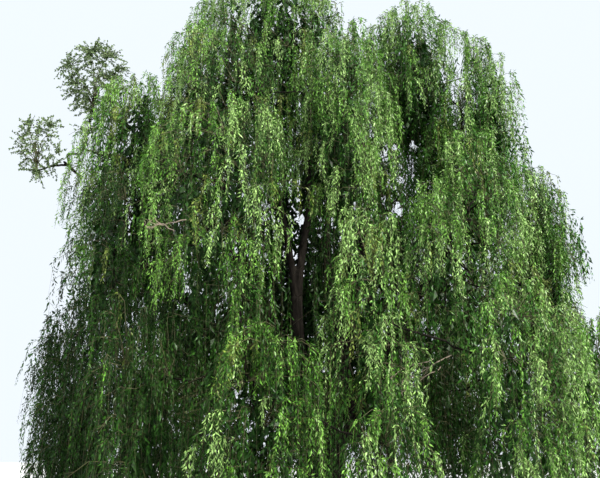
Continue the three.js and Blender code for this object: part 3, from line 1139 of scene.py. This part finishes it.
def place_all(name, leaves, pattern, finish):
    """Leaves as pieces that each stay below the most triangles that a piece may hold."""
    most = PIECE_TRIANGLES // len(pattern.data.polygons)
    places, turns, sizes = leaves
    for part in range(math.ceil(len(places) / most)):
        some = slice(part * most, (part + 1) * most)
        label = f"{name}_{part + 1}"
        piece = place_leaves(label, places[some], turns[some], sizes[some], pattern, finish)
        keep(piece, "foliage", *CURTAINS)


def pattern_from(name, corners):
    """One leaf from the corners of its outline, as a fan of triangles from its foot."""
    mesh = bpy.data.meshes.new(name)
    mesh.from_pydata(corners, [], [(0, number, number + 1) for number in range(1, len(corners) - 1)])
    return linked(name, mesh)


def leaf_pattern(name, length, width, fold):
    """One leaf along +Y: a lance-shaped outline folded along its midrib."""
    half, widest = width / 2, 0.4 * length
    corners = [(0, 0, 0), (half, widest, -fold), (0, length, 0), (-half, widest, -fold)]
    return pattern_from(name, corners)


def round_leaf_pattern(name, length, width):
    """One rounded leaf along +Y: six corners, slightly cupped."""
    half = width / 2
    cup = -0.15 * width
    corners = [(0, 0, 0), (half, 0.3 * length, cup), (0.8 * half, 0.7 * length, cup)]
    corners += [(0, length, 0), (-0.8 * half, 0.7 * length, cup), (-half, 0.3 * length, cup)]
    return pattern_from(name, corners)


# Materials


class Finish:
    """A small helper that adds nodes to one material and links them."""

    def __init__(self, name):
        self.material = bpy.data.materials.new(name)
        self.material.use_nodes = True
        self.nodes = self.material.node_tree.nodes
        self.shader = self.nodes["Principled BSDF"]
        self.place = self.nodes.new("ShaderNodeTexCoord").outputs["Object"]

    def link(self, out, into):
        self.material.node_tree.links.new(out, into)

    def add(self, kind, **inputs):
        """A new node with some of its inputs set; an underscore stands for a space."""
        node = self.nodes.new("ShaderNode" + kind)
        for name, value in inputs.items():
            node.inputs[name.replace("_", " ")].default_value = value
        return node

    def stretched(self, scale):
        """Object coordinates stretched by a scale along each axis."""
        mapping = self.add("Mapping", Scale=scale)
        self.link(self.place, mapping.inputs["Vector"])
        return mapping.outputs["Vector"]

    def noise(self, scale, detail=3.0, roughness=0.5, vector=None):
        """The value of a noise texture."""
        texture = self.add("TexNoise", Scale=scale, Detail=detail, Roughness=roughness)
        self.link(vector or self.place, texture.inputs["Vector"])
        return texture.outputs["Fac"]

    def colours(self, value, stops):
        """The shader's colour, dealt out by a value, as (position, colour) stops."""
        ramp = self.add("ValToRGB")
        while len(ramp.color_ramp.elements) < len(stops):
            ramp.color_ramp.elements.new(0.5)
        for element, (position, colour) in zip(ramp.color_ramp.elements, stops):
            element.position = position
            element.color = (*colour, 1)
        self.link(value, ramp.inputs["Fac"])
        self.link(ramp.outputs["Color"], self.shader.inputs["Base Color"])

    def roughness(self, value, low, high):
        """The shader's roughness, from low to high as a value goes from 0 to 1."""
        spread = self.add("MapRange", To_Min=low, To_Max=high)
        self.link(value, spread.inputs["Value"])
        self.link(spread.outputs["Result"], self.shader.inputs["Roughness"])

    def bump(self, height, strength, distance):
        """Relief on the shader from a height value."""
        bump = self.add("Bump", Strength=strength, Distance=distance)
        self.link(height, bump.inputs["Height"])
        self.link(bump.outputs["Normal"], self.shader.inputs["Normal"])


def shaded(colour, factor):
    """A colour made lighter or darker."""
    return tuple(min(1.0, part * factor) for part in colour)


def leaf_finish(name, colour):
    """A satin leaf whose tone shifts from leaf to leaf; deeper leaves shine less."""
    finish = Finish(name)
    stops = [(0.32, shaded(colour, 0.35)), (0.5, colour), (0.68, shaded(colour, 2.0))]
    finish.colours(finish.noise(16.0, detail=2.0), stops)
    finish.roughness(finish.noise(40.0), 0.28, 0.55)
    finish.shader.inputs["Specular IOR Level"].default_value = min(0.32, 0.1 + colour[1])
    finish.bump(finish.noise(180.0, detail=1.0), 0.15, 0.001)
    return finish.material


def twig_finish(name, colour):
    """The smooth skin of twigs and dead wood, with darker and lighter stretches."""
    finish = Finish(name)
    stops = [(0.3, shaded(colour, 0.45)), (0.6, colour), (0.8, shaded(colour, 1.25))]
    finish.colours(finish.noise(4.0), stops)
    finish.roughness(finish.noise(30.0), 0.45, 0.75)
    finish.bump(finish.noise(260.0), 0.2, 0.002)
    return finish.material


def bark_finish(name, settings):
    """Furrowed bark: dark crevices between weathered, paler ridges, in colours darkened with painted
    shade.
    """
    finish = Finish(name)
    upright = finish.stretched((9.0, 9.0, 2.2))
    ridges = finish.noise(1.0, detail=6.0, roughness=0.65, vector=upright)
    stops = [
        (0.36, tuple(settings.crevice)),
        (0.5, shaded(settings.ridge, 0.6)),
        (0.62, tuple(settings.ridge)),
        (0.78, shaded(settings.ridge, 2.6)),
    ]
    finish.colours(ridges, stops)
    finish.roughness(ridges, 0.98, 0.8)
    finish.shader.inputs["Specular IOR Level"].default_value = 0.12
    grain = finish.noise(1.0, detail=8.0, roughness=0.7, vector=finish.stretched((22.0, 22.0, 5.0)))
    finish.bump(grain, 1.0, 0.05)
    return finish.material


def floor_finish(name, colour):
    """The floor's even, matt finish, with a faint mottle."""
    finish = Finish(name)
    finish.colours(finish.noise(0.4), [(0.3, shaded(colour, 0.97)), (0.7, shaded(colour, 1.02))])
    finish.shader.inputs["Roughness"].default_value = 0.9
    return finish.material


def shared_finish(name, make, look):
    """The material of that name, made the first time that it is asked for, in a colour or by settings."""
    return bpy.data.materials.get(name) or make(name, look)


# Bark


def joined_copy(nodes):
    """The CAD nodes' surfaces in one mesh, with their loose triangles merged."""
    work = bmesh.new()
    for node in nodes:
        work.from_mesh(frame["nodes"][node].data)
    bmesh.ops.remove_doubles(work, verts=work.verts, dist=1e-5)
    mesh = bpy.data.meshes.new("limbs")
    work.to_mesh(mesh)
    work.free()
    return mesh


def furrow_depth(point):
    """How deep the bark's relief is at a point, from 0 on a ridge to 1 in a furrow."""
    grain = Vector((point.x * 7, point.y * 7, point.z * 1.5))
    warp = noise.noise(point * 2.0) * 0.8
    ridge = abs(noise.noise(grain + Vector((warp, warp, 0))))
    fine = abs(noise.noise(grain * 2.7))
    return 1 - min(1.0, 3.2 * ridge + 0.9 * fine)


def carve_bark(mesh, depth):
    """Presses the furrows into the skin, deepest at the trunk's foot and shallow on the boughs."""
    places = [vertex.co.copy() for vertex in mesh.vertices]
    normals = [vertex.normal.copy() for vertex in mesh.vertices]
    for vertex, place, normal in zip(mesh.vertices, places, normals):
        if place.z < 0.03:
            continue
        local = depth * (0.25 + 0.75 * math.exp(-max(0.0, place.z - 1.5) / 1.2))
        vertex.co = place - normal * local * (furrow_depth(place) - 0.35)
        vertex.co.z = max(vertex.co.z, 0.0)


class WILLOW_OT_growth(bpy.types.Operator):
    """Works out by the branching rule where every bough, twig and hanging shoot grows"""

    bl_idname = "willow.growth"
    bl_label = "Plan the growth"

    def execute(self, context):
        shoots = context.scene.willow_shoots
        rng = np.random.default_rng(shoots.seed)
        leaders = grow_leaders(rng)
        heads = find_heads(shoots, rng)
        arms = {node: grow_arms(node, leaders[node], heads[node], rng) for node in CURTAINS}
        twigs, hanging, lights = grow_tresses(heads, arms, leaders, shoots, rng)
        PLAN.update(leaders=leaders, arms=arms, twigs=twigs, hanging=hanging, lights=lights)
        PLAN["inner"] = grow_inner(all_boughs(leaders, arms), shoots, rng)
        PLAN["bare"] = grow_bare(rng)
        return {"FINISHED"}


def planned(part):
    """A part of the plan, or an error if the growth hasn't been planned."""
    if part not in PLAN:
        raise RuntimeError("Plan the growth first")
    return PLAN[part]


class WILLOW_OT_bark(bpy.types.Operator):
    """One skin with the bark's relief over the trunk, stems and boughs"""

    bl_idname = "willow.bark"
    bl_label = "Trunk and boughs"

    def execute(self, context):
        settings = context.scene.willow_bark
        source = linked("limbs_source", joined_copy(LIMBS))
        remesh = source.modifiers.new("Skin", "REMESH")
        remesh.mode = "VOXEL"
        remesh.voxel_size = settings.voxel
        remesh.use_smooth_shade = True
        smooth = source.modifiers.new("Smooth", "SMOOTH")
        smooth.factor = 0.5
        smooth.iterations = 3
        piece = plain_result(source, "trunk_and_boughs")
        carve_bark(piece.data, settings.furrow)
        piece.data.materials.clear()
        piece.data.materials.append(shared_finish("willow_bark", bark_finish, settings))
        keep(piece, "bark", *LIMBS)
        return {"FINISHED"}


class WILLOW_OT_branches(bpy.types.Operator):
    """The boughs inside the crown, the twigs that the shoots hang from, and the dead branches"""

    bl_idname = "willow.branches"
    bl_label = "Inner boughs and twigs"

    def execute(self, context):
        shoots = context.scene.willow_shoots
        bark = shared_finish("willow_bark", bark_finish, context.scene.willow_bark)
        young = shared_finish("willow_twig", twig_finish, shoots.twig)
        dead = shared_finish("willow_dead_wood", twig_finish, shoots.dead)
        leaders = list(planned("leaders").values())
        arms = [arm for group in planned("arms").values() for arm in group]
        keep(sweep("crown_boughs", leaders + arms, BOUGH_SIDES, bark), "bark")
        keep(sweep("arching_twigs", planned("twigs"), TWIG_SIDES, young), "bark")
        keep(sweep("dead_branches", planned("bare"), DEAD_SIDES, dead), "bark")
        return {"FINISHED"}


class WILLOW_OT_shoots(bpy.types.Operator):
    """The long thin shoots that hang from the arching twigs, and the shaded ones inside"""

    bl_idname = "willow.shoots"
    bl_label = "Hanging shoots"

    def execute(self, context):
        shoots = context.scene.willow_shoots
        young = shared_finish("willow_twig", twig_finish, shoots.twig)
        outer = polylines(planned("hanging"), (0, 0.2, 1), shoots.thickness)
        inner = []
        for group in planned("inner"):
            inner += polylines(group, (0, 0.25, 1), shoots.thickness)
        keep(sweep("hanging_shoots", outer, TWIG_SIDES, young), "bark")
        keep(sweep("inner_shoots", inner, TWIG_SIDES, young), "bark")
        return {"FINISHED"}


class WILLOW_OT_leaves(bpy.types.Operator):
    """The narrow leaves along the hanging shoots, in tones dealt out by tress, and the shaded leaves"""

    bl_idname = "willow.leaves"
    bl_label = "Leaves"

    def execute(self, context):
        leaves = context.scene.willow_leaves
        rng = np.random.default_rng(context.scene.willow_shoots.seed + 1)
        pattern = leaf_pattern("leaf_pattern", leaves.length, leaves.width, leaves.fold)
        hanging = planned("hanging")
        dealt = deal_tones(hanging, planned("lights"), rng)
        *outer, owner = set_leaves(hanging, leaves.gap, FIRST_LEAF, 1.0, rng)
        # The tones' finishes paint light and shade: lit and shaded copies of the leaf green
        for number, tone in enumerate(TONES):
            finish = leaf_finish("leaf_" + tone, getattr(leaves, tone))
            chosen = dealt[owner] == number
            place_all("leaves_" + tone, [values[chosen] for values in outer], pattern, finish)
        # The leaves of an inner shoot start where it has turned over
        veil, pale, core = planned("inner")
        first = 2 * Shoots.TURN
        # The veil is darkened with painted shade, the pale veil less so, with painted light
        for name, group in (("veil", veil), ("pale_veil", pale)):
            *inner, _ = set_leaves(group, leaves.veil_gap, first, leaves.veil_scale, rng)
            finish = leaf_finish("leaf_" + name, getattr(leaves, name))
            place_all("leaves_" + name, inner, pattern, finish)
        forget(pattern)
        broad = leaf_pattern("inner_leaf_pattern", leaves.length, leaves.inner_width, leaves.fold)
        *inner, _ = set_leaves(core, leaves.inner_gap, first, leaves.inner_scale, rng)
        # The core leaves are darkened with painted shade
        place_all("leaves_core", inner, broad, leaf_finish("leaf_shade", leaves.shade))
        forget(broad)
        return {"FINISHED"}


class WILLOW_OT_sprays(bpy.types.Operator):
    """The two airy upright sprays at the crown's upper left"""

    bl_idname = "willow.sprays"
    bl_label = "Upright sprays"

    def execute(self, context):
        shoots = context.scene.willow_shoots
        rng = np.random.default_rng(shoots.seed + 2)
        young = shared_finish("willow_twig", twig_finish, shoots.twig)
        finish = leaf_finish("leaf_spray", context.scene.willow_leaves.spray)
        pattern = round_leaf_pattern("spray_leaf_pattern", *SPRAY_LEAF)
        for node in SPRAYS:
            stems, twigs = grow_spray(node, planned("leaders")[node], rng)
            keep(sweep(node + "_stems", stems + twigs, TWIG_SIDES, young), "bark")
            leaves = leaf_twigs(twigs, SPRAY_LEAF_GAP, rng)
            keep(place_leaves(node + "_leaves", *leaves, pattern, finish), "foliage", node)
        forget(pattern)
        return {"FINISHED"}


class WILLOW_OT_stage(bpy.types.Operator):
    """A plain pale floor, soft light and the camera at the photograph's viewing angle"""

    bl_idname = "willow.stage"
    bl_label = "Stage, light and camera"

    def execute(self, context):
        settings = context.scene.willow_stage
        self.lay_floor(settings)
        self.light(context.scene, settings)
        self.aim_camera(context.scene)
        return {"FINISHED"}

    def lay_floor(self, settings):
        work = bmesh.new()
        bmesh.ops.create_circle(work, cap_ends=True, segments=96, radius=FLOOR_RADIUS)
        mesh = bpy.data.meshes.new("floor")
        work.to_mesh(mesh)
        work.free()
        floor = linked("floor", mesh)
        mesh.materials.append(floor_finish("floor_pale", settings.floor))

    def light(self, scene, settings):
        world = bpy.data.worlds.new("Soft sky")
        world.use_nodes = True
        background = world.node_tree.nodes["Background"]
        background.inputs["Color"].default_value = (*settings.sky, 1)
        background.inputs["Strength"].default_value = settings.sky_strength
        scene.world = world
        lamp = bpy.data.lights.new("Key", "SUN")
        lamp.energy = settings.sun_strength
        lamp.angle = settings.sun_softness
        lamp.color = KEY_COLOUR
        key = linked("Key", lamp)
        key.rotation_euler = Vector(KEY_TOWARDS).to_track_quat("Z", "Y").to_euler()

    def aim_camera(self, scene):
        data = bpy.data.cameras.new("Camera")
        data.sensor_width = 36.0
        data.lens = data.sensor_width * FOCAL_PIXELS / PHOTO_SIZE[0]
        data.clip_end = 500.0
        camera = linked("Camera", data)
        camera.location = EYE
        camera.rotation_euler = (math.pi / 2 + camera_pitch(), 0, 0)
        scene.camera = camera
        scene.view_settings.view_transform = "Standard"


class WILLOW_PT_panel(bpy.types.Panel):
    """Settings and operators of the weeping willow"""

    bl_label = "Weeping willow"
    bl_idname = "WILLOW_PT_panel"
    bl_space_type = "VIEW_3D"
    bl_region_type = "UI"
    bl_category = "Willow"

    def draw(self, context):
        for group, settings in SETTINGS.items():
            box = self.layout.box()
            for name in settings.__annotations__:
                box.prop(getattr(context.scene, group), name)
        for operator in OPERATORS:
            self.layout.operator(operator.bl_idname)


SETTINGS = {
    "willow_leaves": WillowLeafSettings,
    "willow_shoots": WillowShootSettings,
    "willow_bark": WillowBarkSettings,
    "willow_stage": WillowStageSettings,
}
OPERATORS = (
    WILLOW_OT_stage,
    WILLOW_OT_growth,
    WILLOW_OT_bark,
    WILLOW_OT_branches,
    WILLOW_OT_shoots,
    WILLOW_OT_leaves,
    WILLOW_OT_sprays,
)


def register():
    for cls in (*SETTINGS.values(), *OPERATORS, WILLOW_PT_panel):
        bpy.utils.register_class(cls)
    for group, settings in SETTINGS.items():
        setattr(bpy.types.Scene, group, PointerProperty(type=settings))


def unregister():
    for group in SETTINGS:
        delattr(bpy.types.Scene, group)
    for cls in reversed((*SETTINGS.values(), *OPERATORS, WILLOW_PT_panel)):
        bpy.utils.unregister_class(cls)


def main():
    register()
    for operator in OPERATORS:
        group, name = operator.bl_idname.split(".")
        getattr(getattr(bpy.ops, group), name)()


if __name__ == "__main__":
    main()
